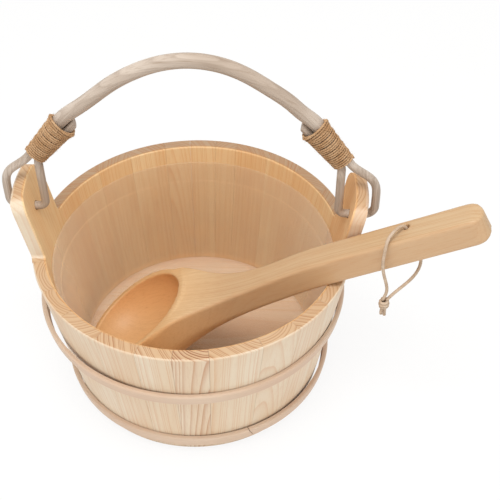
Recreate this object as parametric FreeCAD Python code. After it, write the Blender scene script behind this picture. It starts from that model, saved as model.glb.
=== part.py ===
import FreeCAD, Part
import math
import os

# A coopered sauna pail: tapered staves in two wooden hoops, a bent cane bail lashed
# with twine, a plastic liner, and the wooden ladle that is sold with it.
# Millimetres. Origin: centre of the foot ring on the floor. +Z up, X through both ears.

V = FreeCAD.Vector
AXIS_X, AXIS_Y, AXIS_Z = V(1, 0, 0), V(0, 1, 0), V(0, 0, 1)
FULL_TURN = 360.0
HALF_TURN = 180.0
overrun = 20.0

# Pail body
rim_radius = 125.0
base_radius = 102.5
rim_height = 135.4
stave_thickness = 10.5
stave_joint_gap = 0.16
rim_round = 1.8
foot_round = 1.2
right_ear_azimuth = 0.0
left_ear_azimuth = 180.0
front_joint_shares = (0.117, 0.216, 0.312, 0.434, 0.516, 0.599, 0.698, 0.804, 0.896)
back_joint_shares = (0.103, 0.209, 0.308, 0.407, 0.467, 0.540, 0.612, 0.718, 0.824, 0.910)

# Ears
ear_rise = 54.6
ear_half_width = 27.0
ear_foot_round = 3.0
ear_stave_margin = 6.0
ear_corner_radius = 13.0
ear_outer_round = 4.5
ear_inner_round = 1.5
hinge_rise = 29.6
cane_play = 0.6

# Bottom board
chime_height = 8.4
board_thickness = 12.0
croze_depth = 3.5
board_clearance = 0.15
board_round = 1.5

# Hoops
hoop_width = 10.0
hoop_thickness = 3.8
hoop_round = 1.6
hoop_clearance = 0.25
upper_hoop_height = 78.4
lower_hoop_height = 11.0
upper_hoop_slack = 3.2
upper_hoop_slack_side = -1
lower_hoop_slack = 1.6
lower_hoop_slack_side = 1
hoop_scarf_gap = 0.5
hoop_scarf_slant = 24.0
upper_scarf_azimuth = 112.0
lower_scarf_azimuth = -63.0

# Liner
liner_clearance = 0.4
liner_wall = 1.4
liner_floor = 1.5
liner_drop = 14.4
liner_collar_height = 17.0
liner_collar_step = 1.1
liner_corner_radius = 7.0
liner_lip_round = 0.6

# Bail
cane_radius = 5.4
leg_radius = 3.2
outer_leg_gap = 5.7
swing_clearance = 0.45
leg_bend_radius = 8.0
leg_straight_rise = 13.5
inner_leg_lean = 0.0
inner_bend_radius = 5.5
inner_shoulder_radius = 9.0
tail_gap = 0.3
tail_overlap = 10.0
tail_cut_slant = 38.0
grip_low_inset = 1.32
grip_low_rise = 48.1
right_grip_lean = 26.6
right_grip_rise = 83.3
left_grip_lean = 27.8
left_grip_rise = 81.4
crown_shift = 4.0
crown_rise = 133.6
right_arch_shares = ((0.899, 0.167), (0.791, 0.358), (0.638, 0.573), (0.489, 0.759), (0.342, 0.895))
left_arch_shares = ((0.855, 0.209), (0.736, 0.372), (0.568, 0.611), (0.408, 0.785), (0.251, 0.908))
shoulder_shares = ((0.500, 0.255), (0.790, 0.405), (0.940, 0.570), (0.994, 0.780))

# Twine lashings
twine_radius = 0.75
twine_turns = 20
twine_clearance = 0.3
twine_side_ease = 0.8
twine_low_margin = 3.8
twine_high_margin = 1.4

# Ladle
bowl_bearing = 201.9
bowl_room = 49.75
bowl_seat_gap = 0.43
rim_seat_gap = 1.27
ear_side_gap = 0.76
bowl_length_radius = 52.0
bowl_width_radius = 45.0
bowl_depth = 38.0
bowl_wall = 5.5
bowl_tilt = 10.0
settling_rounds = 30
handle_reach = 297.0
handle_width = 22.0
handle_thickness = 23.0
handle_top_offset = 8.0
handle_edge_radius = 2.6
handle_end_radius = 8.0
neck_start = 16.5
neck_reach = 184.0
cord_hole_reach = 241.0
cord_hole_offset = 4.0
cord_hole_radius = 2.6
# Even sections from neck_start to neck_reach: half width in half handle widths, top in
# handle_top_offset, thickness and extra lower rounding in handle_thickness
neck_shares = (
    (3.73, 0.33, 1.870, 0.757),
    (3.30, 0.70, 1.748, 0.713),
    (2.57, 0.85, 1.574, 0.626),
    (1.85, 0.48, 1.417, 0.365),
    (1.35, 0.30, 1.313, 0.170),
    (1.09, 0.34, 1.239, 0.078),
    (1.01, 0.53, 1.157, 0.035),
    (1.00, 0.79, 1.074, 0.013),
    (1.00, 0.96, 1.017, 0.000),
    (1.00, 1.00, 1.000, 0.000),
)

# Ladle cord: its route is a list of points chosen by hand
cord_radius = 1.15
knot_radius = 3.7
knot_height = 14.0
knot_wraps = 3
knot_wrap_share = 0.16
knot_x = 146.4
knot_y = -59.0
knot_z = 129.4
tail_length = 9.0
tail_splay = 12.0
front_cord_points = (
    (162.5, -42.4, 181.0), (160.1, -42.1, 185.3), (158.0, -41.7, 189.3),
    (156.2, -41.9, 191.9), (153.5, -43.2, 193.2), (150.2, -46.2, 192.7),
    (146.6, -49.6, 190.9), (143.9, -53.2, 188.3), (142.9, -56.2, 185.0),
    (142.2, -58.0, 179.8), (141.8, -58.8, 173.2), (142.2, -59.1, 166.2),
    (143.6, -59.0, 159.0), (145.7, -59.1, 151.9), (147.3, -59.0, 145.0),
    (147.0, -59.0, 139.0), (145.2, -59.1, 133.6),
)
back_cord_points = (
    (162.5, -42.4, 181.0), (165.4, -42.8, 175.8), (168.2, -43.0, 170.8),
    (170.4, -43.5, 165.9), (171.4, -44.6, 160.6), (170.6, -46.4, 155.3),
    (168.0, -48.9, 150.7), (163.9, -51.7, 146.9), (159.2, -54.4, 143.7),
    (154.6, -56.8, 140.6), (151.0, -58.2, 137.2), (148.1, -59.0, 133.4),
)

# Places worked out from the sizes above
taper = (rim_radius - base_radius) / rim_height
ear_top = rim_height + ear_rise
hinge_height = rim_height + hinge_rise
hinge_hole_radius = leg_radius + cane_play
ear_stave_half = math.degrees(math.asin((ear_half_width + ear_stave_margin) / rim_radius))
board_top = chime_height + board_thickness
liner_floor_top = board_top + liner_clearance + liner_floor
liner_top = rim_height - liner_drop


def outer_radius(z):
    return base_radius + taper * z


def inner_radius(z):
    return outer_radius(z) - stave_thickness


# Where the cane's legs stand, outside the ears and inside them as they swing past the ears' edges
leg_reach = outer_radius(hinge_height) + outer_leg_gap + leg_radius
swing_low = hinge_height - 2 * leg_radius
ear_inner_reach = math.sqrt(inner_radius(swing_low) ** 2 - ear_half_width ** 2)
inner_leg_reach = ear_inner_reach - leg_radius - swing_clearance
grip_low_reach = inner_radius(hinge_height) - grip_low_inset
right_grip_reach = grip_low_reach - right_grip_lean
left_grip_reach = grip_low_reach - left_grip_lean


def corner_arc(before, corner, after, radius):
    """Start, middle and end of the arc that rounds one corner."""
    back = (before - corner).normalize()
    ahead = (after - corner).normalize()
    half = back.getAngle(ahead) / 2
    setback = radius / math.tan(half)
    centre = corner + (back + ahead).normalize() * (radius / math.sin(half))
    start, end = corner + back * setback, corner + ahead * setback
    return start, centre + (corner - centre).normalize() * radius, end


def rounded_wire(corners, closed=True):
    """Straight runs through (point, radius) corners, joined by tangent arcs."""
    count = len(corners)
    stops = []
    for i, (point, radius) in enumerate(corners):
        at_end = not closed and i in (0, count - 1)
        if radius == 0 or at_end:
            stops.append((point, None, point))
        else:
            before, after = corners[i - 1][0], corners[(i + 1) % count][0]
            stops.append(corner_arc(before, point, after, radius))
    edges = []
    for i, (start, middle, end) in enumerate(stops):
        if middle is not None:
            edges.append(Part.Arc(start, middle, end).toShape())
        if closed or i < count - 1:
            following = stops[(i + 1) % count][0]
            if end.distanceToPoint(following) > 1e-6:
                edges.append(Part.LineSegment(end, following).toShape())
    return Part.Wire(edges)


def section(corners):
    """A face in the XZ plane from (x, z, radius) corners."""
    return Part.Face(rounded_wire([(V(x, 0, z), r) for x, z, r in corners]))


def turned(corners, start=0.0, sweep=FULL_TURN):
    solid = section(corners).revolve(V(0, 0, 0), AXIS_Z, sweep)
    solid.rotate(V(0, 0, 0), AXIS_Z, start)
    return solid


def disc_wire(centre, direction, radius):
    return Part.Wire(Part.makeCircle(radius, centre, direction))


def sweep_round(path, radius):
    """A solid of round section along a wire, from its first point on."""
    first = path.OrderedEdges[0]
    start = path.OrderedVertexes[0].Point
    heading = first.tangentAt(first.FirstParameter)
    if first.valueAt(first.FirstParameter).distanceToPoint(start) > radius:
        heading = first.tangentAt(first.LastParameter)
    return path.makePipeShell([disc_wire(start, heading, radius)], True, False)


# Pail


def stave_outline(top, outer_round, inner_round):
    groove_low = chime_height - board_clearance
    groove_high = board_top + board_clearance
    deep = croze_depth
    return (
        (outer_radius(0), 0, foot_round),
        (outer_radius(top), top, outer_round),
        (inner_radius(top), top, inner_round),
        (inner_radius(groove_high), groove_high, 0),
        (inner_radius(groove_high) + deep, groove_high, 0),
        (inner_radius(groove_low) + deep, groove_low, 0),
        (inner_radius(groove_low), groove_low, 0),
        (inner_radius(0), 0, foot_round),
    )


def stave(start, end):
    gap = math.degrees(stave_joint_gap / rim_radius)
    return turned(stave_outline(rim_height, rim_round, rim_round), start + gap / 2, end - start - gap)


def ear_silhouette():
    """The ear seen along X: rim shoulders, small foot rounds, rounded top corners."""
    wide = rim_radius
    corners = (
        (-wide, -overrun, 0), (wide, -overrun, 0), (wide, rim_height, 0),
        (ear_half_width, rim_height, ear_foot_round), (ear_half_width, ear_top, ear_corner_radius),
        (-ear_half_width, ear_top, ear_corner_radius), (-ear_half_width, rim_height, ear_foot_round),
        (-wide, rim_height, 0),
    )
    face = Part.Face(rounded_wire([(V(0, y, z), r) for y, z, r in corners]))
    return face.extrude(V(rim_radius + ear_rise, 0, 0))


def ear_stave(azimuth):
    gap = math.degrees(stave_joint_gap / rim_radius)
    sweep = 2 * ear_stave_half - gap
    outline = stave_outline(ear_top, ear_outer_round, ear_inner_round)
    solid = turned(outline, -sweep / 2, sweep).common(ear_silhouette())
    bore = Part.makeCylinder(hinge_hole_radius, rim_radius + ear_rise, V(0, 0, hinge_height), AXIS_X)
    solid = solid.cut(bore)
    solid.rotate(V(0, 0, 0), AXIS_Z, azimuth)
    return solid


def stave_ring():
    """Plain staves between the ears, in the uneven widths of a coopered pail."""
    free = HALF_TURN - 2 * ear_stave_half
    staves = {}
    for side, turn, shares in (("front", -1, front_joint_shares), ("back", 1, back_joint_shares)):
        joints = [ear_stave_half + free * share for share in (0.0,) + shares + (1.0,)]
        for i, (near, far) in enumerate(zip(joints, joints[1:])):
            start = near if turn > 0 else -far
            staves["stave_%s_%02d" % (side, i + 1)] = stave(start, start + far - near)
    return staves


def bottom_board():
    edge = croze_depth - board_clearance
    low, high = inner_radius(chime_height) + edge, inner_radius(board_top) + edge
    return turned((
        (0, chime_height, 0), (low, chime_height, board_round),
        (high, board_top, board_round), (0, board_top, 0),
    ))


def hoop(height, slack, slack_side, scarf_azimuth):
    """A flat wooden band that stands off the staves on one side, with a slanting scarf joint."""
    clear = hoop_clearance + slack / 8
    inner_low = outer_radius(height) + clear
    inner_high = outer_radius(height + hoop_width) + clear
    ring = turned((
        (inner_low, height, 0), (inner_low + hoop_thickness, height, hoop_round),
        (inner_high + hoop_thickness, height + hoop_width, hoop_round), (inner_high, height + hoop_width, 0),
    ))
    stretch = FreeCAD.Matrix()
    stretch.scale(1 + slack / (2 * inner_high), 1, 1)
    ring = ring.transformGeometry(stretch)
    ring.translate(V(slack_side * slack / 2, 0, 0))
    slot = Part.makeBox(
        2 * overrun, hoop_scarf_gap, 2 * overrun,
        V(inner_low - overrun, -hoop_scarf_gap / 2, height + hoop_width / 2 - overrun),
    )
    slot.rotate(V(inner_low, 0, height + hoop_width / 2), AXIS_X, hoop_scarf_slant)
    slot.rotate(V(0, 0, 0), AXIS_Z, scarf_azimuth)
    return ring.cut(slot)


def liner():
    """Moulded cup that follows the staves, with a thicker collar at its mouth."""
    def skin(z):
        return inner_radius(z) - liner_clearance

    base = board_top + liner_clearance
    step = liner_top - liner_collar_height
    hollow = liner_wall + liner_collar_step
    outer_corner = liner_corner_radius + liner_wall
    return turned((
        (0, base, 0), (skin(base), base, outer_corner),
        (skin(liner_top), liner_top, liner_lip_round), (skin(liner_top) - liner_wall, liner_top, liner_lip_round),
        (skin(step) - liner_wall, step, 0),
        (skin(step) - hollow, step - liner_collar_step, 0),
        (skin(liner_floor_top) - hollow, liner_floor_top, liner_corner_radius), (0, liner_floor_top, 0),
    ))


# Bail: one cane, thick over the crown and thinned into legs that loop through the ears


def grip_points(side):
    reach, rise = (right_grip_reach, right_grip_rise) if side > 0 else (left_grip_reach, left_grip_rise)
    low = V(side * grip_low_reach, 0, hinge_height + grip_low_rise)
    high = V(side * reach, 0, hinge_height + rise)
    return low, high


def grip_axes(side):
    """Along the lashing, and across it away from the crown's inside."""
    low, high = grip_points(side)
    along = (high - low).normalize()
    return along, V(side * abs(along.z), 0, abs(along.x))


def tail_line(side):
    """Centre line of the cane's tail beside the main rod, at both ends of the lashing."""
    low, high = grip_points(side)
    across = grip_axes(side)[1]
    return (
        low - across * (2 * leg_radius + tail_gap),
        high - across * (cane_radius + tail_gap + leg_radius),
    )


def arch():
    right, left = grip_points(1)[1], grip_points(-1)[1]
    crown = V(crown_shift, 0, hinge_height + crown_rise)
    points = [right]
    points += [V(right.x * x, 0, right.z + (crown.z - right.z) * z) for x, z in right_arch_shares]
    points.append(crown)
    points += [V(left.x * x, 0, left.z + (crown.z - left.z) * z) for x, z in reversed(left_arch_shares)]
    points.append(left)
    curve = Part.BSplineCurve()
    curve.interpolate(
        Points=points, InitialTangent=grip_axes(1)[0], FinalTangent=grip_axes(-1)[0] * -1,
    )
    return sweep_round(Part.Wire(curve.toShape()), cane_radius)


def thinned_grip(side):
    low, high = grip_points(side)
    return Part.makeCone(leg_radius, cane_radius, low.distanceToPoint(high), low, grip_axes(side)[0])


def outer_shoulder(side):
    low = grip_points(side)[0]
    foot = V(side * leg_reach, 0, hinge_height + leg_straight_rise)
    points = [low]
    points += [V(low.x + (foot.x - low.x) * x, 0, low.z + (foot.z - low.z) * z) for x, z in shoulder_shares]
    points.append(foot)
    curve = Part.BSplineCurve()
    curve.interpolate(Points=points, InitialTangent=grip_axes(side)[0] * -1, FinalTangent=V(0, 0, -1))
    return curve.toShape(), foot


def leg_loop(side):
    """Down outside the ear, through its hole, up inside and on as the cane's tail."""
    shoulder, foot = outer_shoulder(side)
    tail_low, tail_high = tail_line(side)
    run = (tail_high - tail_low).normalize()
    lean_top = inner_leg_reach - inner_leg_lean
    meet = tail_low + run * ((abs(tail_low.x) - lean_top) / abs(run.x))
    rest = rounded_wire((
        (foot, 0),
        (V(side * leg_reach, 0, hinge_height), leg_bend_radius),
        (V(side * inner_leg_reach, 0, hinge_height), inner_bend_radius),
        (meet, inner_shoulder_radius),
        (tail_high, 0),
    ), closed=False)
    loop = sweep_round(Part.Wire([shoulder] + rest.OrderedEdges), leg_radius)
    return loop.fuse(tail_end(side, tail_high, run))


def tail_end(side, start, heading):
    """The tail's last length, cut on a slant towards the main rod."""
    stub = Part.makeCylinder(leg_radius, tail_overlap, start, heading)
    knife = Part.makeBox(
        2 * overrun, 2 * overrun, overrun, V(-overrun, -overrun, 0),
    )
    knife.rotate(V(0, 0, 0), AXIS_Y, -side * tail_cut_slant)
    turn = FreeCAD.Rotation(AXIS_Z, heading)
    knife.Placement = FreeCAD.Placement(start + heading * (tail_overlap / 2), turn).multiply(knife.Placement)
    return stub.cut(knife)


def bail_cane():
    cane = arch()
    for side in (1, -1):
        cane = cane.fuse(thinned_grip(side)).fuse(leg_loop(side))
    return cane.removeSplitter()


# Twine: one unbroken winding round both strands of the cane


def biarc(start, start_heading, end, end_heading):
    """Two tangent arcs from one point and heading to another."""
    chord = end - start
    both = start_heading + end_heading
    a = 2 * (1 - start_heading.dot(end_heading))
    b = 2 * chord.dot(both)
    reach = (-b + math.sqrt(b * b + 4 * a * chord.dot(chord))) / (2 * a)
    meet = (start + end + (start_heading - end_heading) * reach) * 0.5
    return [arc_from(start, start_heading, meet), arc_from(end, end_heading * -1, meet, reverse=True)]


def arc_from(start, heading, end, reverse=False):
    chord = end - start
    lean = heading.getAngle(chord)
    aside = heading - chord * (heading.dot(chord) / chord.dot(chord))
    middle = start + chord * 0.5 + aside.normalize() * (chord.Length / 2 * math.tan(lean / 2))
    first, last = (end, start) if reverse else (start, end)
    return Part.Arc(first, middle, last).toShape()


def lashing_point(side, share, quarter):
    """Place and heading on the winding after a number of quarter turns."""
    low, high = grip_points(side)
    along, across = grip_axes(side)
    length = low.distanceToPoint(high) - twine_low_margin - twine_high_margin
    rod = leg_radius + (cane_radius - leg_radius) * share
    stand = twine_clearance + twine_radius
    major = rod + leg_radius + tail_gap / 2 + stand
    minor = rod + stand + twine_side_ease
    middle = low + along * (twine_low_margin + length * share)
    middle = middle - across * (leg_radius + tail_gap / 2)
    angle = quarter * math.pi / 2
    place = middle + across * (major * math.cos(angle)) + AXIS_Y * (minor * math.sin(angle))
    advance = length / (twine_turns * 2 * math.pi)
    heading = AXIS_Y * (minor * math.cos(angle)) - across * (major * math.sin(angle)) + along * advance
    return place, heading.normalize()


def twine(side):
    quarters = 4 * twine_turns
    knots = [lashing_point(side, i / quarters, i) for i in range(quarters + 1)]
    edges = []
    for (start, start_heading), (end, end_heading) in zip(knots, knots[1:]):
        edges += biarc(start, start_heading, end, end_heading)
    tail = 2 * twine_radius
    (first, first_heading), (last, last_heading) = knots[0], knots[-1]
    edges.insert(0, Part.LineSegment(first - first_heading * tail, first).toShape())
    edges.append(Part.LineSegment(last, last + last_heading * tail).toShape())
    path = Part.Wire(edges)
    report_winding(path, "right" if side > 0 else "left")
    return sweep_round(path, twine_radius)


def report_winding(path, name):
    """Least gap between one turn and the next, measured on points of the path."""
    per_turn = 36
    points = path.discretize(per_turn * twine_turns)
    least = min(
        a.distanceToPoint(b)
        for i, a in enumerate(points)
        for b in points[i + per_turn // 2:i + per_turn + per_turn // 2]
    )
    print("twine %s: %d turns, least gap %.2f mm" % (name, twine_turns, least - 2 * twine_radius))


# Ladle: carved in its own frame, x along the handle, z out of its top face


def bowl_place():
    """Middle of the bowl's mouth seen from above, a bowl's room from the staves."""
    reach = inner_radius(liner_floor_top + bowl_depth) - bowl_room
    return turned_by(bowl_bearing) * reach


def turned_by(angle):
    return V(math.cos(math.radians(angle)), math.sin(math.radians(angle)), 0)


def ladle_azimuth():
    """The handle leaves the bowl so that its side just passes the right ear's edge."""
    corner = V(math.sqrt(inner_radius(rim_height) ** 2 - ear_half_width ** 2), -ear_half_width, 0) - bowl_place()
    bearing = math.atan2(corner.y, corner.x)
    return math.degrees(bearing - math.asin((handle_width / 2 + ear_side_gap) / corner.Length))


def bowl_height(elevation):
    """Height of the mouth's middle with the tilted bowl just above the liner's floor."""
    lean = math.radians(elevation + bowl_tilt)
    reach = math.hypot(bowl_length_radius * math.sin(lean), bowl_depth * math.cos(lean))
    return liner_floor_top + bowl_seat_gap + reach


def ladle_elevation():
    """The handle's underside lies on the rim's inner edge while the bowl keeps its seat."""
    middle, ahead = bowl_place(), turned_by(ladle_azimuth())
    along, aside = middle.dot(ahead), middle.cross(ahead).z
    run = math.sqrt(inner_radius(rim_height) ** 2 - aside ** 2) - along
    under = handle_thickness - handle_top_offset + rim_seat_gap
    elevation = 0
    for _ in range(settling_rounds):
        rise = rim_height - bowl_height(elevation)
        elevation = math.degrees(math.atan2(rise, run) + math.asin(under / math.hypot(run, rise)))
    return elevation


def ladle_place():
    elevation = ladle_elevation()
    turn = FreeCAD.Rotation(AXIS_Z, ladle_azimuth()).multiply(FreeCAD.Rotation(AXIS_Y, -elevation))
    return FreeCAD.Placement(bowl_place() + V(0, 0, bowl_height(elevation)), turn)


def neck_section(x, half, top, bottom, low_round):
    edge = handle_edge_radius
    corners = (
        (V(x, -half, top), edge), (V(x, half, top), edge),
        (V(x, half, bottom), low_round), (V(x, -half, bottom), low_round),
    )
    return rounded_wire(corners)


def neck_and_handle():
    """A neck that widens and dips into the bowl, then the straight square handle."""
    step = (neck_reach - neck_start) / (len(neck_shares) - 1)
    wires = []
    for i, (half, top, deep, extra) in enumerate(neck_shares):
        wires.append(neck_section(
            neck_start + step * i, handle_width / 2 * half, handle_top_offset * top,
            handle_top_offset - handle_thickness * deep, handle_edge_radius + handle_thickness * extra,
        ))
    handle = Part.Face(wires[-1]).extrude(V(handle_reach - neck_reach, 0, 0))
    return Part.makeLoft(wires, True, False).fuse(handle.common(handle_end_trim()))


def ellipsoid(along, across, deep):
    shape = Part.makeSphere(1)
    stretch = FreeCAD.Matrix()
    stretch.scale(along, across, deep)
    return shape.transformGeometry(stretch)


def ladle_bowl():
    outer = ellipsoid(bowl_length_radius, bowl_width_radius, bowl_depth)
    lid = Part.makeBox(
        4 * bowl_length_radius, 4 * bowl_width_radius, 2 * bowl_depth,
        V(-2 * bowl_length_radius, -2 * bowl_width_radius, 0),
    )
    outer = outer.cut(lid)
    outer.rotate(V(0, 0, 0), AXIS_Y, -bowl_tilt)
    return outer


def bowl_hollow():
    hollow = ellipsoid(bowl_length_radius - bowl_wall, bowl_width_radius - bowl_wall, bowl_depth - bowl_wall)
    hollow.rotate(V(0, 0, 0), AXIS_Y, -bowl_tilt)
    return hollow


def handle_end_trim():
    """The handle's outline from above, with its rounded end corners."""
    half = handle_width / 2
    keep = rounded_wire((
        (V(0, -half, 0), 0), (V(handle_reach, -half, 0), handle_end_radius),
        (V(handle_reach, half, 0), handle_end_radius), (V(0, half, 0), 0),
    ))
    prism = Part.Face(keep).extrude(V(0, 0, 2 * handle_reach))
    prism.translate(V(0, 0, -handle_reach))
    return prism


def ladle():
    body = neck_and_handle().fuse(ladle_bowl()).cut(bowl_hollow())
    bore = Part.makeCylinder(
        cord_hole_radius, 2 * handle_thickness,
        V(cord_hole_reach, cord_hole_offset, handle_top_offset - handle_thickness - overrun), AXIS_Z,
    )
    body = body.cut(bore).removeSplitter()
    body.Placement = ladle_place()
    return body


# Ladle cord


def cord(points, name):
    """Round cord along its route: straight runs joined by the largest tangent arcs."""
    route = [V(*point) for point in points]
    corners = [(route[0], 0)]
    radii = []
    for before, at, after in zip(route, route[1:], route[2:]):
        shorter = min(before.distanceToPoint(at), at.distanceToPoint(after))
        turn = (at - before).getAngle(after - at)
        radii.append(0.45 * shorter / math.tan(turn / 2))
        corners.append((at, radii[-1]))
    corners.append((route[-1], 0))
    path = rounded_wire(corners, closed=False)
    solid = sweep_round(path, cord_radius)
    ideal = math.pi * cord_radius ** 2 * path.Length
    print("%s: length %.1f, least radius %.1f mm, radii %s" % (
        name, path.Length, min(radii), " ".join("%.0f" % radius for radius in radii)))
    print("%s: volume %.0f, section times length %.0f mm3" % (name, solid.Volume, ideal))
    return solid


def cord_knot():
    """Wrapped knot that closes the cord's loop, with its two short ends."""
    groove = knot_radius * knot_wrap_share
    pitch = knot_height / knot_wraps
    edges = []
    low = -knot_height / 2
    waist = knot_radius - groove
    for i in range(knot_wraps):
        start, end = low + pitch * i, low + pitch * (i + 1)
        edges.append(Part.Arc(
            V(waist, 0, start), V(knot_radius, 0, (start + end) / 2), V(waist, 0, end)).toShape())
    edges.append(Part.LineSegment(V(waist, 0, -low), V(0, 0, -low)).toShape())
    edges.append(Part.LineSegment(V(0, 0, -low), V(0, 0, low)).toShape())
    edges.append(Part.LineSegment(V(0, 0, low), V(waist, 0, low)).toShape())
    knot = Part.Face(Part.Wire(edges)).revolve(V(0, 0, 0), AXIS_Z, FULL_TURN)
    for side in (1, -1):
        end = Part.makeCylinder(cord_radius, tail_length, V(0, 0, 0), V(0, 0, -1))
        end.rotate(V(0, 0, 0), AXIS_Y, side * tail_splay)
        end.translate(V(-side * cord_radius, 0, low + cord_radius))
        knot = knot.fuse(end)
    knot.translate(V(knot_x, knot_y, knot_z))
    return knot


def build():
    nodes = stave_ring()
    nodes["ear_stave_right"] = ear_stave(right_ear_azimuth)
    nodes["ear_stave_left"] = ear_stave(left_ear_azimuth)
    nodes["bottom_board"] = bottom_board()
    nodes["hoop_upper"] = hoop(
        upper_hoop_height, upper_hoop_slack, upper_hoop_slack_side, upper_scarf_azimuth)
    nodes["hoop_lower"] = hoop(
        lower_hoop_height, lower_hoop_slack, lower_hoop_slack_side, lower_scarf_azimuth)
    nodes["liner"] = liner()
    nodes["bail_cane"] = bail_cane()
    nodes["twine_right"] = twine(1)
    nodes["twine_left"] = twine(-1)
    nodes["ladle"] = ladle()
    nodes["ladle_cord_front"] = cord(front_cord_points, "front strand")
    nodes["ladle_cord_back"] = cord(back_cord_points, "back strand")
    nodes["cord_knot"] = cord_knot()
    return nodes


os.makedirs("parts", exist_ok=True)
for name, shape in build().items():
    shape.exportStep("parts/%s.step" % name)
    print("%-18s %d solid(s) %9.0f mm3 valid %s" % (name, len(shape.Solids), shape.Volume, shape.isValid()))
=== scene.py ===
import math
import bpy
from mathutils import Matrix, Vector


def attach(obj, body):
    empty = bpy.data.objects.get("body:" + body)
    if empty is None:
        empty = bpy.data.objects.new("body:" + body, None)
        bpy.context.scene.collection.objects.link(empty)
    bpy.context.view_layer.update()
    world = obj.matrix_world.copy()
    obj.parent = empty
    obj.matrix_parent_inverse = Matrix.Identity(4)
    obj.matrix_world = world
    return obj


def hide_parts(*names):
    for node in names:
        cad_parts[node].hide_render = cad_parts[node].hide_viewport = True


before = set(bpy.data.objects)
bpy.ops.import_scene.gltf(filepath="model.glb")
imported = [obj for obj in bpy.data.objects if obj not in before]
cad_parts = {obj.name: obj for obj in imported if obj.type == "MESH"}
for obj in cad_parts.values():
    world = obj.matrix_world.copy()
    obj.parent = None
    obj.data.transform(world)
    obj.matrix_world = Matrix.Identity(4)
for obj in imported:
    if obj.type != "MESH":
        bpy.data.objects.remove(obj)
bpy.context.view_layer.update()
scene = bpy.context.scene
scene.view_settings.view_transform = "Standard"

# The photograph's view
cameraSettings = {
    "place": (0.0677, -0.5677, 0.674),
    "tilt": 45.9,  # degrees from straight down
    "turn": 2.33,
    "lens": 72.0,
    "sensor": 36.0,
    "nearest": 0.01,
}

cameraData = bpy.data.cameras.new("camera")
cameraData.lens = cameraSettings["lens"]
cameraData.sensor_width = cameraSettings["sensor"]
cameraData.clip_start = cameraSettings["nearest"]
camera = bpy.data.objects.new("camera", cameraData)
camera.location = cameraSettings["place"]
camera.rotation_euler = (math.radians(cameraSettings["tilt"]), 0, math.radians(cameraSettings["turn"]))
scene.collection.objects.link(camera)
scene.camera = camera
print("camera placed")


# Screen colour, 0 to 255, to the linear colour that nodes take
def linearColour(red, green, blue):
    def channel(value):
        value /= 255
        return value / 12.92 if value <= 0.04045 else ((value + 0.055) / 1.055) ** 2.4
    return (channel(red), channel(green), channel(blue), 1.0)


# One value in a node tree, so that shader and geometry maths read as sums
class Value:
    def __init__(self, graph, socket):
        self.graph, self.socket = graph, socket

    def maths(self, operation, *others):
        terms = dict(enumerate((self,) + others))
        return self.graph.node("ShaderNodeMath", {"operation": operation}, terms)

    def __add__(self, other):
        return self.maths("ADD", other)

    __radd__ = __add__

    def __mul__(self, other):
        return self.maths("MULTIPLY", other)

    def __sub__(self, other):
        return self.maths("SUBTRACT", other)

    def __rsub__(self, other):
        return self.graph.node("ShaderNodeMath", {"operation": "SUBTRACT"}, {0: other, 1: self})

    def __truediv__(self, other):
        return self.maths("DIVIDE", other)

    def __pow__(self, other):
        return self.maths("POWER", other)

    def clamped(self):
        return self.graph.node("ShaderNodeClamp", {}, {0: self})

    def between(self, low, high):
        settings = {"interpolation_type": "SMOOTHSTEP"}
        return self.graph.node("ShaderNodeMapRange", settings, {0: self, 1: low, 2: high, 3: 0.0, 4: 1.0})


# A node tree, shader or geometry, with one way to add a node
class Graph:
    def __init__(self, tree):
        self.tree = tree

    def node(self, kind, settings=None, sockets=None, out=0):
        made = self.tree.nodes.new(kind)
        for key, value in (settings or {}).items():
            setattr(made, key, value)
        for key, value in (sockets or {}).items():
            if isinstance(value, Value):
                self.tree.links.new(value.socket, made.inputs[key])
            else:
                made.inputs[key].default_value = value
        return Value(self, made.outputs[out] if made.outputs else None)

    def output(self, value, index):
        return Value(self, value.socket.node.outputs[index])

    def vector(self, x, y, z):
        return self.node("ShaderNodeCombineXYZ", {}, {0: x, 1: y, 2: z})

    def vectorMaths(self, operation, sockets, out=0):
        return self.node("ShaderNodeVectorMath", {"operation": operation}, sockets, out)


class Finish(Graph):
    def __init__(self, name):
        self.material = bpy.data.materials.new(name)
        self.material.use_nodes = True
        super().__init__(self.material.node_tree)
        self.tree.nodes.clear()
        self.places = self.node("ShaderNodeTexCoord", out=3)
        self.x = self.node("ShaderNodeSeparateXYZ", {}, {0: self.places})
        self.y = self.output(self.x, 1)
        self.z = self.output(self.x, 2)

    def facing(self, axis, low, high):  # 1 where the surface looks along the axis, either way
        normal = self.node("ShaderNodeNewGeometry", {}, {}, out=1)
        lean = self.vectorMaths("DOT_PRODUCT", {0: normal, 1: axis}, out=1)
        return lean.maths("ABSOLUTE").between(low, high)

    def noise(self, place, scale, detail=2.0, roughness=0.5):
        sockets = {"Vector": place, "Scale": scale, "Detail": detail, "Roughness": roughness}
        return self.node("ShaderNodeTexNoise", {}, sockets)

    def mix(self, factor, first, second, way="MIX"):
        settings = {"data_type": "RGBA", "clamp_factor": True, "blend_type": way}
        return self.node("ShaderNodeMix", settings, {0: factor, 6: first, 7: second}, out=2)

    def bump(self, height, strength, distance):
        sockets = {"Strength": strength, "Distance": distance, "Height": height}
        return self.node("ShaderNodeBump", {}, sockets)

    def shade(self, sockets):
        surface = self.node("ShaderNodeBsdfPrincipled", {}, sockets)
        self.node("ShaderNodeOutputMaterial", {}, {0: surface})
        return self.material


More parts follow.
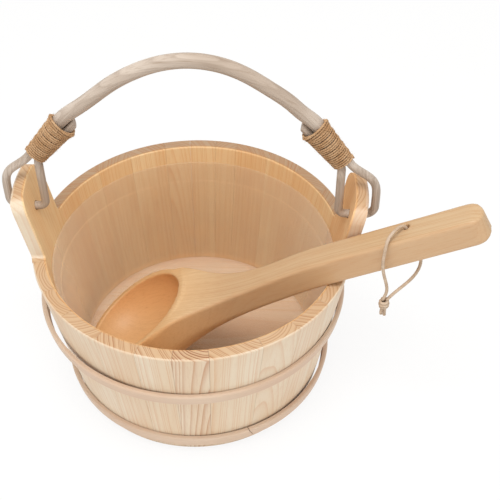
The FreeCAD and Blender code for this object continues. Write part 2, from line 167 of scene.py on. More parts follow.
# What all the wood has in common. A stretch below 1 draws a pattern out along the grain
grainSettings = {
    "driftStretch": 0.16, "driftDetail": 2.0,
    "knotLength": 1.5, "knotHeart": (0.25, 1.3), "knotReach": (0.2, 9.0),
    "knotRings": 2.6, "knotStain": 0.8,
    "spellScale": 0.45, "spellDetail": 1.0, "spellYears": 2.2,  # runs of narrow and of wide years
    "yearEnd": (0.88, 1.0), "faintest": 0.6, "strengthSpan": 0.6,
    "fibreStretch": 0.035, "fibreDetail": 3.0, "fibreRoughness": 0.62,
    "patchStretch": 0.25, "patchDetail": 1.0, "patchEdges": (0.30, 0.70),
    "poreStretch": 0.06, "poreFineness": 2.6, "poreDetail": 1.0, "poreEdges": (0.63, 0.72),
    "endColour": 0.75, "endLateness": 1.2,
    "fibreHeight": 0.6, "lateHeight": 0.4, "bumpDistance": 0.0004,
    "roughnessSpan": 0.16, "gloss": 0.35,
}


# Sawn softwood: growth rings round a pith, with fibres along the grain
def grainWood(finish, across, depth, along, look, knots=(), end=None, shaded=None):
    grain = grainSettings
    drifting = finish.vector(across, depth, along * grain["driftStretch"])
    drift = finish.noise(drifting, look["driftScale"], grain["driftDetail"]) - 0.5
    pithAcross, pithDepth = look["pith"]
    sideways, inwards = across - pithAcross, depth - pithDepth
    radius = (sideways * sideways + inwards * inwards) ** 0.5 + drift * look["drift"]
    stain = None
    for knotAcross, knotAlong, knotSize in knots:
        aside = (across - knotAcross) / knotSize
        ahead = (along - knotAlong) / (knotSize * grain["knotLength"])
        squared = aside * aside + ahead * ahead
        heart = 1 - squared.between(*grain["knotHeart"])
        pushed = 1 - squared.between(*grain["knotReach"])
        radius = radius + pushed * look["ringPitch"] * grain["knotRings"]
        stain = heart if stain is None else stain + heart
    years = radius / look["ringPitch"]
    spells = {"W": years, "Scale": grain["spellScale"], "Detail": grain["spellDetail"]}
    spell = finish.node("ShaderNodeTexNoise", {"noise_dimensions": "1D"}, spells)
    years = years + spell * grain["spellYears"]
    ring = years.maths("FRACT")
    yearNumber = {"W": years.maths("FLOOR")}
    strength = finish.node("ShaderNodeTexWhiteNoise", {"noise_dimensions": "1D"}, yearNumber)
    late = ring ** look["lateness"] * (1 - ring.between(*grain["yearEnd"]))
    late = late * (strength * grain["strengthSpan"] + grain["faintest"])
    stretched = finish.vector(across, depth, along * grain["fibreStretch"])
    fibre = finish.noise(stretched, look["fibreScale"], grain["fibreDetail"], grain["fibreRoughness"])
    patches = finish.vector(across, depth, along * grain["patchStretch"])
    patch = finish.noise(patches, look["patchScale"], grain["patchDetail"])
    colour = finish.mix(patch.between(*grain["patchEdges"]), look["pale"], look["warm"])
    lateColour = look["late"]
    if end is not None:
        colour = finish.mix(end * grain["endColour"], colour, look["end"])
        late = late * (1 + end * grain["endLateness"])
        lateColour = finish.mix(end, look["late"], look["endLate"])
    colour = finish.mix((late * look["ringDepth"]).clamped(), colour, lateColour)
    colour = finish.mix(((fibre - 0.5) * look["fibreDepth"]).clamped(), colour, look["late"])
    poresAt = finish.vector(across, depth, along * grain["poreStretch"])
    pores = finish.noise(poresAt, look["fibreScale"] * grain["poreFineness"], grain["poreDetail"])
    colour = finish.mix(pores.between(*grain["poreEdges"]) * look["poreDepth"], colour, look["pore"])
    if stain is not None:
        colour = finish.mix(stain.clamped() * grain["knotStain"], colour, look["knot"])
    # painted light and shade: where shaded is 1 the colour is multiplied by the shade tint
    if shaded is not None:
        colour = finish.mix(shaded, colour, look["shade"], "MULTIPLY")
    height = fibre * grain["fibreHeight"] + late * grain["lateHeight"]
    return finish.shade({
        "Base Color": colour,
        "Roughness": fibre * grain["roughnessSpan"] + look["roughness"],
        "Normal": finish.bump(height, look["bump"], grain["bumpDistance"]),
        "Specular IOR Level": grain["gloss"],
    })


# pine's shade is painted light: a warmer, redder tint multiplied into the inside faces of the staves,
# standing in for the light bounced round inside the pail
pine = {
    "pale": linearColour(225, 210, 187), "warm": linearColour(220, 197, 168),
    "late": linearColour(204, 148, 100), "pore": linearColour(200, 158, 112),
    "knot": linearColour(188, 114, 54), "shade": (1.12, 0.97, 0.71, 1.0),
    "end": linearColour(192, 154, 112), "endLate": linearColour(160, 104, 60),
    "pith": (0.012, 0.060), "ringPitch": 0.0031, "lateness": 3.4, "ringDepth": 0.66,
    "drift": 0.007, "driftScale": 26.0, "patchScale": 30.0,
    "fibreScale": 900.0, "fibreDepth": 0.9, "poreDepth": 0.18, "roughness": 0.42, "bump": 0.16,
}

# What changes from stave to stave: how the board was cut from the log, and how warm it is. The right ear is
# made warmer and darker still as painted shade, for the shade the cane casts on it
staveSettings = {
    "cuts": {
        "fine": {"pith": (0.050, 0.058), "ringPitch": 0.0021, "tilt": 0.0, "ringDepth": 0.80},
        "flame": {"pith": (0.003, 0.080), "ringPitch": 0.0026, "tilt": 0.075, "ringDepth": 0.55},
        "plain": {"pith": (-0.024, 0.075), "ringPitch": 0.0031, "tilt": 0.035, "ringDepth": 0.45},
        "dark": {
            "pith": (0.012, 0.082), "ringPitch": 0.0023, "tilt": 0.045, "ringDepth": 0.85, "lateness": 2.8,
            "late": linearColour(178, 112, 66), "endLate": linearColour(138, 78, 42),
        },
    },
    "order": ("fine", "flame", "fine", "plain", "fine", "fine", "plain"),
    "cutOf": {
        "stave_front_02": "fine", "stave_front_03": "flame", "stave_front_04": "fine",
        "stave_front_05": "dark", "stave_front_06": "fine", "stave_front_07": "fine",
        "stave_front_08": "plain", "stave_front_09": "flame",
        "ear_stave_left": "plain", "ear_stave_right": "flame",
    },
    "pithStep": 0.005, "pithSteps": 5, "boardShift": 0.37,
    "warmths": (0.0, 0.35, 0.15, 0.55, 0.1, 0.45, 0.25, 0.0, 0.3),
    # painted shade: the right ear is drawn warmer and darker for the shade the cane casts on it
    "paintedShadeWarmthOf": {"ear_stave_right": 2.4},
    "warmPale": 0.16, "warmWarm": 0.2,
    "backEnd": linearColour(150, 115, 80), "backWarmth": 0.6,
    "taper": 0.1662, "insideEdge": (0.0926, 0.0942), "tiltHeight": 0.07, "endFacing": (0.75, 0.95),
    "knots": {
        "stave_front_05": ((0.005, 0.030, 0.0030),),
        "stave_back_01": ((0.004, 0.128, 0.0050),),
        "stave_back_02": ((0.004, 0.128, 0.004),),
        "stave_back_04": ((0.005, 0.080, 0.006),),
        "stave_back_05": ((-0.004, 0.130, 0.0035),),
        "stave_back_11": ((0.0, 0.127, 0.0055),),
    },
}


def blend(first, second, share):
    return tuple(a + (b - a) * share for a, b in zip(first, second))


def middleAzimuth(node):
    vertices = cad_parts[node].data.vertices
    x = sum(v.co.x for v in vertices) / len(vertices)
    y = sum(v.co.y for v in vertices) / len(vertices)
    return math.atan2(y, x)


def staveFinish(node, index):
    settings = staveSettings
    finish = Finish("stave" + node)
    azimuth = middleAzimuth(node)
    cosine, sine = math.cos(azimuth), math.sin(azimuth)
    cut = settings["cutOf"].get(node, settings["order"][index % len(settings["order"])])
    look = dict(pine, **settings["cuts"][cut])
    pithAcross, pithDepth = look["pith"]
    steps = index % settings["pithSteps"] - settings["pithSteps"] // 2
    look["pith"] = (pithAcross + steps * settings["pithStep"], pithDepth)
    # each stave's warmth, which for the right ear also holds painted shade
    warmthAndPaintedShade = settings["paintedShadeWarmthOf"].get(node, settings["warmths"][index % len(settings["warmths"])])
    if node.startswith("stave_back"):
        look["end"] = settings["backEnd"]
        warmthAndPaintedShade += settings["backWarmth"]
    look["pale"] = blend(pine["pale"], pine["late"], warmthAndPaintedShade * settings["warmPale"])
    look["warm"] = blend(pine["warm"], pine["late"], warmthAndPaintedShade * settings["warmWarm"])
    slope = finish.z * settings["taper"]
    across = finish.y * cosine - finish.x * sine
    depth = finish.x * cosine + finish.y * sine - slope + (finish.z - settings["tiltHeight"]) * look["tilt"]
    along = finish.z + index * settings["boardShift"]
    radius = (finish.x * finish.x + finish.y * finish.y) ** 0.5 - slope
    # painted light: the inside faces take the shade tint, for the light bounced round inside the pail
    paintedInsideLight = 1 - radius.between(*settings["insideEdge"])
    end = finish.facing((0, 0, 1), *settings["endFacing"])
    return grainWood(finish, across, depth, along, look, settings["knots"].get(node, ()), end, paintedInsideLight)


def paint(node, material):
    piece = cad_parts[node]
    if not piece.material_slots:
        piece.data.materials.append(material)
    for slot in piece.material_slots:
        slot.material = material


staves = sorted(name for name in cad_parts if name.startswith(("stave_", "ear_stave")))
for index, node in enumerate(staves):
    paint(node, staveFinish(node, index))
print("staves finished:", len(staves))

# Hoops: split wood bent round, so the grain runs round the pail
hoopSettings = {
    "meanRadius": 0.12,
    "look": {
        "pale": linearColour(213, 189, 166), "warm": linearColour(207, 176, 151),
        "late": linearColour(186, 146, 116),
        "pith": (0.004, 0.02), "ringPitch": 0.0042, "ringDepth": 0.16,
        "fibreDepth": 0.6, "poreDepth": 0.1, "roughness": 0.45,
    },
}


def hoopFinish(name):
    finish = Finish(name)
    radius = (finish.x * finish.x + finish.y * finish.y) ** 0.5
    along = finish.y.maths("ARCTAN2", finish.x) * hoopSettings["meanRadius"]
    return grainWood(finish, finish.z, radius, along, dict(pine, **hoopSettings["look"]))


for node in ("hoop_upper", "hoop_lower"):
    paint(node, hoopFinish(node + "Wood"))

# Bottom board: pinker, seen through the liner
boardSettings = {
    "look": {
        "pith": (0.01, -0.05), "pale": linearColour(222, 194, 168), "warm": linearColour(216, 180, 150),
    },
}


def boardFinish():
    finish = Finish("baseBoard")
    return grainWood(finish, finish.y, finish.z, finish.x, dict(pine, **boardSettings["look"]))


paint("bottom_board", boardFinish())

# Cane: peeled and bent. Its grain follows the arch above legTop and stands upright in the legs
caneSettings = {
    "archCentre": 0.174, "archRadius": 0.124, "legTop": (0.190, 0.226),
    "look": {
        "pale": linearColour(200, 186, 172), "warm": linearColour(178, 161, 145),
        "late": linearColour(126, 104, 85), "pore": linearColour(140, 116, 94), "poreDepth": 0.35,
        "pith": (0.009, 0.100), "ringPitch": 0.0024, "ringDepth": 0.36, "lateness": 1.8, "drift": 0.002,
        "fibreDepth": 2.0, "fibreScale": 380.0, "patchScale": 60.0, "roughness": 0.5,
    },
}


def caneFinish():
    finish = Finish("cane")
    height = finish.z - caneSettings["archCentre"]
    arched = finish.z.between(*caneSettings["legTop"])
    radius = (finish.x * finish.x + height * height) ** 0.5
    radius = radius * arched + finish.x.maths("ABSOLUTE") * (1 - arched)
    along = height.maths("ARCTAN2", finish.x) * caneSettings["archRadius"]
    along = along * arched + finish.z * (1 - arched)
    return grainWood(finish, finish.y, radius, along, dict(pine, **caneSettings["look"]))


paint("bail_cane", caneFinish())

# Ladle: one piece of wood, grain along the handle. Bowl and handle differ in their rings and in colour: the
# bowl's paler, warmer colour is partly the wood's own and partly painted light for the dimly lit inside of
# the pail. Faces that look sideways take a painted shade tint
ladleSettings = {
    "bowlCentre": (-0.0485, -0.0195, 0.0668),
    "along": (0.8686, -0.1051, 0.4843), "across": (0.1201, 0.9928, 0.0),
    "upwards": (-0.4808, 0.0582, 0.8749),
    "bowlEnd": (0.02, 0.10), "sideFacing": (0.25, 0.90), "tilt": 0.026,
    # painted shade: tints multiplied into the faces that look sideways, warmer at the bowl than at the
    # handle
    "bowlSideShadeTint": (1.08, 0.97, 0.88, 1.0), "handleSideShadeTint": (1.04, 0.98, 0.97, 1.0),
    # partly painted light: the bowl's colours are paler and warmer than the handle's, partly the wood's own
    # tone and partly for the dimly lit inside of the pail
    "bowlPale": linearColour(218, 180, 132), "bowlWarm": linearColour(213, 168, 117),
    "handlePale": linearColour(199, 169, 131), "handleWarm": linearColour(191, 155, 114),
    "bowlRings": 0.14, "handleRings": 0.55, "sideFading": 0.8,
    "look": {
        "late": linearColour(170, 114, 64), "pore": linearColour(190, 132, 76), "poreDepth": 0.3,
        "pith": (-0.060, 0.007), "ringPitch": 0.0023, "lateness": 2.6, "drift": 0.006, "driftScale": 14.0,
        "fibreDepth": 0.9, "fibreScale": 820.0, "patchScale": 22.0, "roughness": 0.36,
    },
}


def ladleFinish():
    settings = ladleSettings
    finish = Finish("ladleWood")

    def measured(axis):
        (cx, cy, cz), (ax, ay, az) = settings["bowlCentre"], axis
        return (finish.x - cx) * ax + (finish.y - cy) * ay + (finish.z - cz) * az

    across, upwards, along = (measured(settings[key]) for key in ("across", "upwards", "along"))
    handle = along.between(*settings["bowlEnd"])
    # painted shade: faces that look sideways take the side tints
    side = finish.facing(settings["across"], *settings["sideFacing"])
    rings = handle * settings["handleRings"] + settings["bowlRings"]
    look = dict(
        pine, **settings["look"],
        pale=finish.mix(handle, settings["bowlPale"], settings["handlePale"]),
        warm=finish.mix(handle, settings["bowlWarm"], settings["handleWarm"]),
        shade=finish.mix(handle, settings["bowlSideShadeTint"], settings["handleSideShadeTint"]),
        ringDepth=rings * (1 - side * settings["sideFading"]),
    )
    return grainWood(finish, across + along * settings["tilt"], upwards, along, look, shaded=side)


# The ladle's edges are sanded soft, more than on its solid: the handle's section and end are rounded
sandingSettings = {
    "voxel": 0.0011, "smoothings": 3, "smoothing": 0.5,
    "handleStart": 0.180, "handleFull": 0.215, "handleEnd": 0.297,
    "halfWidth": 0.011, "halfThickness": 0.0115, "middle": -0.0035, "squareness": 10.0,
    "endLength": 0.013, "endLoss": 0.27, "endPower": 2.6,
}


def evaluatedMesh(piece):
    return bpy.data.meshes.new_from_object(piece.evaluated_get(bpy.context.evaluated_depsgraph_get()))


# How much of the distance from the handle's middle line a point keeps
def sandedShare(side, rise, reach):
    settings = sandingSettings
    power = settings["squareness"]
    share = min((reach - settings["handleStart"]) / (settings["handleFull"] - settings["handleStart"]), 1)
    width, thickness = abs(side / settings["halfWidth"]), abs(rise / settings["halfThickness"])
    past = max((width ** power + thickness ** power) ** (1 / power), 1)
    keep = 1 + (1 / past - 1) * share
    left = settings["handleEnd"] - reach
    if left < settings["endLength"]:
        keep *= 1 - settings["endLoss"] * (1 - max(left, 0) / settings["endLength"]) ** settings["endPower"]
    return keep


def sandedLadle():
    settings = sandingSettings
    piece = bpy.data.objects.new("ladleSanded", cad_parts["ladle"].data.copy())
    scene.collection.objects.link(piece)
    remesh = piece.modifiers.new("even", "REMESH")
    remesh.mode, remesh.voxel_size = "VOXEL", settings["voxel"]
    smooth = piece.modifiers.new("soft", "SMOOTH")
    smooth.iterations, smooth.factor = settings["smoothings"], settings["smoothing"]
    mesh = evaluatedMesh(piece)
    piece.modifiers.clear()
    piece.data = mesh
    centre = Vector(ladleSettings["bowlCentre"])
    along, across, upwards = (Vector(ladleSettings[key]) for key in ("along", "across", "upwards"))
    for vertex in mesh.vertices:
        offset = vertex.co - centre
        reach = offset.dot(along)
        if reach < settings["handleStart"]:
            continue
        side, rise = offset.dot(across), offset.dot(upwards) - settings["middle"]
        vertex.co -= (across * side + upwards * rise) * (1 - sandedShare(side, rise, reach))
    mesh.materials.clear()
    mesh.materials.append(ladleFinish())
    for face in mesh.polygons:
        face.use_smooth = True
    print("ladle faces:", len(mesh.polygons))
    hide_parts("ladle")
    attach(piece, "ladle")


sandedLadle()
print("hoops, cane and ladle finished")

# Liner: milky moulded plastic that the staves show through, milkier where seen along its wall
linerSettings = {
    "colour": linearColour(255, 232, 196), "milk": linearColour(252, 240, 226),
    "leastMilk": 0.05, "edgeMilk": 0.34, "edgeBlend": 0.4,
    "cloudScale": 38.0, "cloudMilk": 0.06, "cloudRoughness": 0.12, "cloudBump": 0.08, "bumpDistance": 0.001,
    "roughness": 0.30,
}


def linerFinish():
    settings = linerSettings
    finish = Finish("milkyLiner")
    cloud = finish.noise(finish.places, settings["cloudScale"])
    edge = finish.node("ShaderNodeLayerWeight", {}, {"Blend": settings["edgeBlend"]}, out=1)
    milk = cloud * settings["cloudMilk"] + edge * settings["edgeMilk"] + settings["leastMilk"]
    return finish.shade({
        "Base Color": finish.mix(edge, settings["colour"], settings["milk"]),
        "Roughness": cloud * settings["cloudRoughness"] + settings["roughness"],
        "Alpha": milk.clamped(),
        "Normal": finish.bump(cloud, settings["cloudBump"], settings["bumpDistance"]),
    })


paint("liner", linerFinish())
print("liner finished")

# Laid strands: a path swept by twisted strands, with loose fibres standing off
strandInputs = (
    ("Strands", "Int"), ("Strand Radius", "Float"), ("Lay Radius", "Float"), ("Lay Length", "Float"),
    ("Step", "Float"), ("Unevenness", "Float"), ("Fibre Density", "Float"), ("Fibre Length", "Float"),
    ("Fibre Radius", "Float"), ("Seed", "Int"), ("Finish", "Material"),
)
strandShape = {
    "sides": 7, "swellScale": 420.0, "swellDetail": 2.0,
    "fibreSides": 3, "fibreSteps": 4, "fibreMiddle": (0.1, 0, 0.6), "fibreEnd": (0.6, 0, 0.9),
    "fibreLean": (1.1, 1.1, 3.1), "fibreShortest": 0.35,
}


def twistedStrands(graph, given):
    curve = graph.node("GeometryNodeMeshToCurve", {}, {0: given["Geometry"]})
    steps = {"Curve": curve, "Length": given["Step"]}
    resample = graph.node("GeometryNodeResampleCurve", {"mode": "LENGTH"}, steps)
    amount = {"Geometry": resample, "Amount": given["Strands"]}
    copies = graph.node("GeometryNodeDuplicateElements", {"domain": "SPLINE"}, amount)
    which = graph.output(copies, 1)
    place = graph.node("GeometryNodeSplineParameter", {}, {}, out=1)
    turn = (place / given["Lay Length"] + which / given["Strands"]) * (2 * math.pi)
    normal = graph.node("GeometryNodeInputNormal")
    tangent = graph.node("GeometryNodeInputTangent")
    side = graph.vectorMaths("CROSS_PRODUCT", {0: tangent, 1: normal})
    outwards = graph.vectorMaths("SCALE", {0: normal, 3: turn.maths("COSINE") * given["Lay Radius"]})
    sideways = graph.vectorMaths("SCALE", {0: side, 3: turn.maths("SINE") * given["Lay Radius"]})
    offset = graph.vectorMaths("ADD", {0: outwards, 1: sideways})
    laid = graph.node("GeometryNodeSetPosition", {}, {"Geometry": copies, "Offset": offset})
    waves = {
        "Vector": graph.node("GeometryNodeInputPosition"),
        "Scale": strandShape["swellScale"], "Detail": strandShape["swellDetail"],
    }
    thickness = (graph.node("ShaderNodeTexNoise", {}, waves) - 0.5) * given["Unevenness"] + 1
    circle = {"Resolution": strandShape["sides"], "Radius": given["Strand Radius"]}
    ring = graph.node("GeometryNodeCurvePrimitiveCircle", {}, circle)
    swept = {"Curve": laid, "Profile Curve": ring, "Scale": thickness, "Fill Caps": True}
    return graph.node("GeometryNodeCurveToMesh", {}, swept)


def looseFibres(graph, given, rope):
    shape = strandShape
    spread = {"Mesh": rope, "Density": given["Fibre Density"], "Seed": given["Seed"]}
    points = graph.node("GeometryNodeDistributePointsOnFaces", {}, spread)
    leastLean = tuple(-angle for angle in shape["fibreLean"])
    leanSpan = {0: leastLean, 1: shape["fibreLean"], "Seed": given["Seed"]}
    lean = graph.node("FunctionNodeRandomValue", {"data_type": "FLOAT_VECTOR"}, leanSpan)
    turned = {0: graph.output(points, 2), 1: lean}
    facing = graph.node("FunctionNodeRotateRotation", {"rotation_space": "LOCAL"}, turned)
    arc = {
        "Resolution": shape["fibreSteps"],
        "Start": (0, 0, 0), "Middle": shape["fibreMiddle"], "End": shape["fibreEnd"],
    }
    bend = graph.node("GeometryNodeCurveQuadraticBezier", {}, arc)
    circle = {"Resolution": shape["fibreSides"], "Radius": given["Fibre Radius"]}
    thin = graph.node("GeometryNodeCurvePrimitiveCircle", {}, circle)
    length = given["Fibre Length"]
    size = graph.vector(length, length, length)
    grown = graph.node("GeometryNodeTransform", {}, {"Geometry": bend, "Scale": size})
    hair = graph.node("GeometryNodeCurveToMesh", {}, {"Curve": grown, "Profile Curve": thin})
    lengths = {2: shape["fibreShortest"], 3: 1.0, "Seed": given["Seed"]}
    stretch = graph.node("FunctionNodeRandomValue", {"data_type": "FLOAT"}, lengths, out=1)
    planted = {"Points": points, "Instance": hair, "Rotation": facing, "Scale": stretch}
    return graph.node("GeometryNodeInstanceOnPoints", {}, planted)


def strandTree():
    tree = bpy.data.node_groups.new("laidStrands", "GeometryNodeTree")
    keys = {}
    tree.interface.new_socket(name="Geometry", in_out="INPUT", socket_type="NodeSocketGeometry")
    for name, kind in strandInputs:
        socket = tree.interface.new_socket(name=name, in_out="INPUT", socket_type="NodeSocket" + kind)
        keys[name] = socket.identifier
    tree.interface.new_socket(name="Geometry", in_out="OUTPUT", socket_type="NodeSocketGeometry")
    graph = Graph(tree)
    entry = graph.node("NodeGroupInput")
    given = {name: graph.output(entry, i) for i, name in enumerate(("Geometry",) + tuple(keys))}
    rope = twistedStrands(graph, given)
    fibres = looseFibres(graph, given, rope)
    joined = graph.node("GeometryNodeJoinGeometry")
    for part in (fibres, rope):
        tree.links.new(part.socket, joined.socket.node.inputs[0])
    real = graph.node("GeometryNodeRealizeInstances", {}, {0: joined})
    finished = graph.node("GeometryNodeSetMaterial", {}, {"Geometry": real, "Material": given["Finish"]})
    graph.node("NodeGroupOutput", {}, {0: finished})
    return tree, keys


strands, strandKeys = strandTree()


def layStrands(name, paths, settings, finish):
    points, edges = [], []
    for path in paths:
        edges += [(len(points) + i, len(points) + i + 1) for i in range(len(path) - 1)]
        points += [tuple(point) for point in path]
    mesh = bpy.data.meshes.new(name + "Path")
    mesh.from_pydata(points, edges, [])
    piece = bpy.data.objects.new(name, mesh)
    scene.collection.objects.link(piece)
    modifier = piece.modifiers.new("strands", "NODES")
    modifier.node_group = strands
    for key, value in dict(settings, Finish=finish).items():
        modifier[strandKeys[key]] = value
    piece.data = evaluatedMesh(piece)
    piece.modifiers.remove(modifier)
    bpy.data.meshes.remove(mesh)
    for face in piece.data.polygons:
        face.use_smooth = True
    print(name, "faces:", len(piece.data.polygons))
    return piece


fibreSettings = {
    "streakScale": 900.0, "streakDetail": 3.0, "streakRoughness": 0.65, "streakEdges": (0.50, 0.72),
    "patchScale": 160.0, "patchEdges": (0.35, 0.65), "darkest": 0.6,
    "roughness": 0.85, "roughnessSpan": 0.1, "bump": 0.5, "bumpDistance": 0.0003, "gloss": 0.2,
    "twine": (linearColour(193, 158, 121), linearColour(176, 138, 100), linearColour(133, 96, 65)),
    "cord": (linearColour(203, 182, 160), linearColour(190, 166, 142), linearColour(152, 128, 104)),
}


def fibreFinish(name, pale, warm, dark):
    settings = fibreSettings
    finish = Finish(name)
    detail, roughness = settings["streakDetail"], settings["streakRoughness"]
    streak = finish.noise(finish.places, settings["streakScale"], detail, roughness)
    patch = finish.noise(finish.places, settings["patchScale"])
    colour = finish.mix(patch.between(*settings["patchEdges"]), pale, warm)
    colour = finish.mix(streak.between(*settings["streakEdges"]) * settings["darkest"], colour, dark)
    return finish.shade({
        "Base Color": colour,
        "Roughness": streak * settings["roughnessSpan"] + settings["roughness"],
        "Normal": finish.bump(streak, settings["bump"], settings["bumpDistance"]),
        "Specular IOR Level": settings["gloss"],
    })


twineFinish = fibreFinish("juteTwine", *fibreSettings["twine"])
cordFinish = fibreFinish("cordFibre", *fibreSettings["cord"])

# Twine: the lashing that binds the cane's end to the cane, at each side. A few turns lie over the rest
twineSettings = {
    "lowReach": 0.1181, "lowHeight": 0.2131,
    "right": (0.0915, 0.2483), "left": (0.0903, 0.2464),
    "caneRadius": 0.0054, "legRadius": 0.0032, "legGap": 0.0003, "twineRadius": 0.00078,
    "clearance": 0.00035, "sideEase": 0.0006, "lowMargin": 0.0038, "highMargin": 0.0014,
    "turns": 20, "pointsPerTurn": 24,
    "slack": 0.0005, "slackWaves": (37.0, 91.0), "slackPhase": 2.0,
    "wander": 0.007, "wanderWaves": 41.0, "wanderPhase": 1.4,
    "overTurns": 3, "overStand": 0.0013, "overStart": 0.80, "overEnd": 0.99,
    "overLean": 0.05, "overPhase": 0.8,
    "strands": {
        "Strands": 3, "Strand Radius": 0.00047, "Lay Radius": 0.00036, "Lay Length": 0.0058,
        "Step": 0.00055, "Unevenness": 0.9,
        "Fibre Density": 190000.0, "Fibre Length": 0.0021, "Fibre Radius": 0.000035, "Seed": 4,
    },
}


def windingPath(side, over=False):
    s = twineSettings
    reach, height = s["right"] if side > 0 else s["left"]
    low = Vector((side * s["lowReach"], 0, s["lowHeight"]))
    high = Vector((side * reach, 0, height))
    along = (high - low).normalized()
    across = Vector((side * abs(along.z), 0, abs(along.x)))
    length = (high - low).length - s["lowMargin"] - s["highMargin"]
    slowWave, fastWave = s["slackWaves"]
    turns = s["overTurns"] if over else s["turns"]
    steps = turns * s["pointsPerTurn"]
    path = []
    for i in range(steps + 1):
        share = i / steps
        angle = 2 * math.pi * turns * share
        slack = 0.5 * math.sin(slowWave * share) + 0.5 * math.sin(fastWave * share + s["slackPhase"])
        rod = s["legRadius"] + (s["caneRadius"] - s["legRadius"]) * share
        stand = s["clearance"] + s["twineRadius"] + s["slack"] * (1 + slack) / 2
        if over:
            stand += s["overStand"]
            lean = s["overLean"] * math.cos(angle + s["overPhase"])
            reached = s["overStart"] + (s["overEnd"] - s["overStart"]) * share + lean
        else:
            wander = s["wander"] * math.sin(math.pi * share) * math.sin(s["wanderWaves"] * share)
            reached = share + wander * math.cos(angle + s["wanderPhase"])
        middle = low + along * (s["lowMargin"] + length * reached)
        middle -= across * (s["legRadius"] + s["legGap"] / 2)
        major = rod + s["legRadius"] + s["legGap"] / 2 + stand
        minor = rod + stand + s["sideEase"]
        path.append(middle + across * (major * math.cos(angle)) + Vector((0, minor * math.sin(angle), 0)))
    return path


for side, node in ((1, "twine_right"), (-1, "twine_left")):
    name = "lashing" + ("Right" if side > 0 else "Left")
    turnPaths = [windingPath(side), windingPath(side, over=True)]
    lashing = layStrands(name, turnPaths, twineSettings["strands"], twineFinish)
    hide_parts(node)
    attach(lashing, "bail")

# Cord: tied through the hole at the handle's end, both strands down to one knot
cordSettings = {
    "front": (
        (0.1625, -0.0424, 0.1810), (0.1601, -0.0421, 0.1853), (0.1580, -0.0417, 0.1893),
        (0.1562, -0.0419, 0.1919), (0.1535, -0.0432, 0.1932), (0.1502, -0.0462, 0.1927),
        (0.1466, -0.0496, 0.1909), (0.1439, -0.0532, 0.1883), (0.1429, -0.0562, 0.1850),
        (0.1422, -0.0580, 0.1798), (0.1418, -0.0588, 0.1732), (0.1422, -0.0591, 0.1662),
        (0.1436, -0.0590, 0.1590), (0.1457, -0.0591, 0.1519), (0.1473, -0.0590, 0.1450),
        (0.1470, -0.0590, 0.1390), (0.1452, -0.0591, 0.1336),
    ),
    "back": (
        (0.1625, -0.0424, 0.1810), (0.1654, -0.0428, 0.1758), (0.1682, -0.0430, 0.1708),
        (0.1704, -0.0435, 0.1659), (0.1714, -0.0446, 0.1606), (0.1706, -0.0464, 0.1553),
        (0.1680, -0.0489, 0.1507), (0.1639, -0.0517, 0.1469), (0.1592, -0.0544, 0.1437),
        (0.1546, -0.0568, 0.1406), (0.1510, -0.0582, 0.1372), (0.1481, -0.0590, 0.1334),
    ),
    "lengths": {"front": 0.0877, "back": 0.0625},
    "diameter": 0.0023, "routeSteps": 12, "routeOrder": 3,
    "strands": {
        "Strands": 2, "Strand Radius": 0.00119, "Lay Radius": 0.00005, "Lay Length": 0.004,
        "Step": 0.0006, "Unevenness": 0.08,
        "Fibre Density": 4000.0, "Fibre Length": 0.0008, "Fibre Radius": 0.00002, "Seed": 7,
    },
}


def splinePoints(name, route):
    curve = bpy.data.curves.new(name, "CURVE")
    curve.dimensions = "3D"
    curve.resolution_u = cordSettings["routeSteps"]
    spline = curve.splines.new("NURBS")
    spline.points.add(len(route) - 1)
    for point, place in zip(spline.points, route):
        point.co = (*place, 1.0)
    spline.order_u = cordSettings["routeOrder"]
    spline.use_endpoint_u = True
    holder = bpy.data.objects.new(name, curve)
    scene.collection.objects.link(holder)
    mesh = evaluatedMesh(holder)
    points = [vertex.co.copy() for vertex in mesh.vertices]
    bpy.data.objects.remove(holder)
    bpy.data.curves.remove(curve)
    bpy.data.meshes.remove(mesh)
    return points


# Knot: a few turns of the same cord round both strands, with two short tails
knotSettings = {
    "centre": (0.1464, -0.0590, 0.1294), "radius": 0.0027, "height": 0.0075, "turns": 3.4, "steps": 70,
    "endSwell": 0.75, "middleSwell": 0.35,
    "tails": (
        (
            (0.1454, -0.0590, 0.1270), (0.1452, -0.0592, 0.1240),
            (0.1450, -0.0596, 0.1215), (0.1451, -0.0597, 0.1188),
        ),
        (
            (0.1474, -0.0590, 0.1270), (0.1475, -0.0591, 0.1240),
            (0.1474, -0.0596, 0.1210), (0.1476, -0.0598, 0.1178),
        ),
    ),
}


def knotPath():
    settings = knotSettings
    cx, cy, cz = settings["centre"]
    path = []
    for i in range(settings["steps"] + 1):
        share = i / settings["steps"]
        angle = 2 * math.pi * settings["turns"] * share
        swell = settings["endSwell"] + settings["middleSwell"] * math.sin(math.pi * share)
        radius = settings["radius"] * swell
        height = cz + settings["height"] * (share - 0.5)
        path.append(Vector((cx + radius * math.cos(angle), cy + radius * math.sin(angle), height)))
    return path


cords = {}
for name in ("front", "back"):
    path = splinePoints("cordRoute", cordSettings[name])
    cord = layStrands("ladleCord" + name.capitalize(), [path], cordSettings["strands"], cordFinish)
    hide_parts("ladle_cord_" + name)
    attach(cord, "ladle")
    cords[name] = (cord, path)

knotPaths = [knotPath()] + [splinePoints("tailRoute", tail) for tail in knotSettings["tails"]]
knot = layStrands("cordKnot", knotPaths, cordSettings["strands"], cordFinish)
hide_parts("cord_knot")
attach(knot, "ladle")

for name, (cord, path) in cords.items():
    [knot] if name == "front" else []
print("twine, cords and knot made")

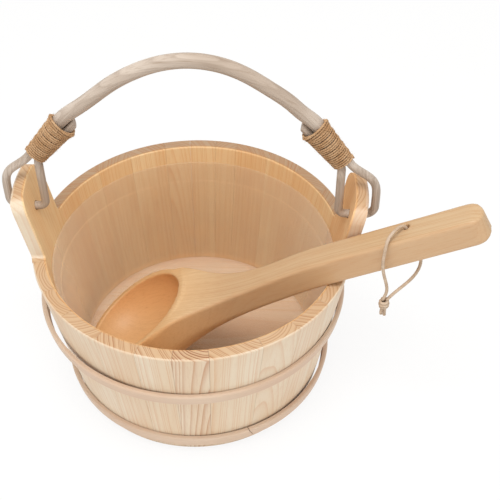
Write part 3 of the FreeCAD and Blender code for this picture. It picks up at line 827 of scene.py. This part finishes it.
# Floor and light
studioSettings = {
    "floorSize": 6.0, "floorWhite": 0.86, "floorColour": linearColour(250, 249, 247),
    "worldStrength": 0.78, "aim": (0, 0, 0.1),
    "lamps": {
        "keyLamp": {"place": (-0.9, -0.9, 1.4), "size": 0.9, "power": 0.6, "colour": (1.0, 0.98, 0.95)},
        "frontLamp": {"place": (0.1, -1.3, 0.35), "size": 1.0, "power": 0.5, "colour": (1.0, 0.99, 0.97)},
        "topLamp": {"place": (-0.05, -0.33, 1.22), "size": 0.5, "power": 7.4, "colour": (1.0, 0.99, 0.97)},
        "fillLamp": {"place": (1.1, -0.4, 1.0), "size": 1.0, "power": 1.0, "colour": (1.0, 1.0, 1.0)},
    },
}


# 1 for what is seen directly, in gloss or through the liner, and 0 for the light that falls on the pail
def seenRays(graph):
    path = graph.node("ShaderNodeLightPath")
    return path.maths("MAXIMUM", graph.output(path, 3)).maths("MAXIMUM", graph.output(path, 6))


def floorFinish():
    material = bpy.data.materials.new("paleFloor")
    material.use_nodes = True
    graph = Graph(material.node_tree)
    graph.tree.nodes.clear()
    white = seenRays(graph) * studioSettings["floorWhite"]
    matt = graph.node("ShaderNodeBsdfDiffuse", {}, {0: studioSettings["floorColour"]})
    glow = graph.node("ShaderNodeEmission", {}, {0: (1, 1, 1, 1), 1: 1.0})
    mixed = graph.node("ShaderNodeMixShader", {}, {0: white, 1: matt, 2: glow})
    graph.node("ShaderNodeOutputMaterial", {}, {0: mixed})
    return material


def makeFloor():
    half = studioSettings["floorSize"] / 2
    corners = [(-half, -half, 0), (half, -half, 0), (half, half, 0), (-half, half, 0)]
    mesh = bpy.data.meshes.new("floor")
    mesh.from_pydata(corners, [], [(0, 1, 2, 3)])
    floor = bpy.data.objects.new("floor", mesh)
    mesh.materials.append(floorFinish())
    scene.collection.objects.link(floor)


def makeLamp(name, place, size, power, colour):
    data = bpy.data.lights.new(name, "AREA")
    data.size, data.energy, data.color = size, power, colour
    lamp = bpy.data.objects.new(name, data)
    lamp.location = place
    direction = Vector(studioSettings["aim"]) - Vector(place)
    lamp.rotation_euler = direction.to_track_quat("-Z", "Y").to_euler()
    scene.collection.objects.link(lamp)


def makeWorld():
    world = bpy.data.worlds.new("studio")
    world.use_nodes = True
    scene.world = world
    graph = Graph(world.node_tree)
    graph.tree.nodes.clear()
    dim = studioSettings["worldStrength"]
    strength = seenRays(graph) * (1 - dim) + dim
    sky = graph.node("ShaderNodeBackground", {}, {0: (1, 1, 1, 1), 1: strength})
    graph.node("ShaderNodeOutputWorld", {}, {0: sky})


makeFloor()
makeWorld()
for name, settings in studioSettings["lamps"].items():
    makeLamp(name, **settings)
print("studio lit")
